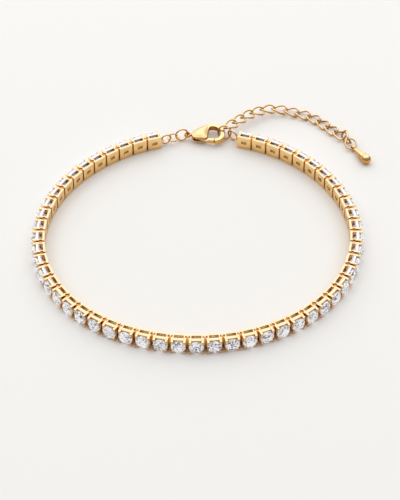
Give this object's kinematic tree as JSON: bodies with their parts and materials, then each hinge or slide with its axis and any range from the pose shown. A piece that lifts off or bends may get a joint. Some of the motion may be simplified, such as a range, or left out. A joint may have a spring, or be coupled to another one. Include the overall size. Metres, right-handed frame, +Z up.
{
  "type": "anklet",
  "caption": "Tennis anklet: a flexible loop of square four-prong settings with round cut stones, closed by a lobster clasp, with an extender chain that ends in a drop.",
  "frame": {"origin": "on the surface that the anklet lies on, under the middle of its bounding box", "axes": "+Z up from the surface, out of the loop's plane; +Y towards the clasp; +X towards the free end of the extender chain"},
  "size_m": [0.0828, 0.0876, 0.0036],
  "materials": {
    "stone_settings": "polished gold plating round clear faceted stones",
    "gold_plating": "polished warm gold plating",
    "stones": "clear cut stones, sharp facets, high polish"
  },
  "bodies": {
    "anklet": {"setting_row_left": "stone_settings", "setting_row_right": "stone_settings", "jump_ring_left_1": "gold_plating", "jump_ring_left_2": "gold_plating", "jump_ring_left_3": "gold_plating", "jump_ring_clasp": "gold_plating", "jump_ring_right": "gold_plating", "extender_link_01": "gold_plating", "extender_link_02": "gold_plating", "extender_link_03": "gold_plating", "extender_link_04": "gold_plating", "extender_link_05": "gold_plating", "extender_link_06": "gold_plating", "extender_link_07": "gold_plating", "extender_link_08": "gold_plating", "extender_link_09": "gold_plating", "extender_link_10": "gold_plating", "extender_link_11": "gold_plating", "extender_link_12": "gold_plating", "extender_link_13": "gold_plating", "extender_end_ring": "gold_plating", "drop": "gold_plating", "clasp_body": "gold_plating"},
    "clasp_lever": {"clasp_lever": "gold_plating"}
  },
  "joints": [
    {"name": "clasp_lever_hinge", "type": "hinge", "parent": "anklet", "child": "clasp_lever", "pos_m": [-0.00195, 0.03103, 0.0015], "axis": [0, 0, 1], "range_deg": [0, 22], "stiffness_Nm_per_rad": 0.0005}
  ]
}
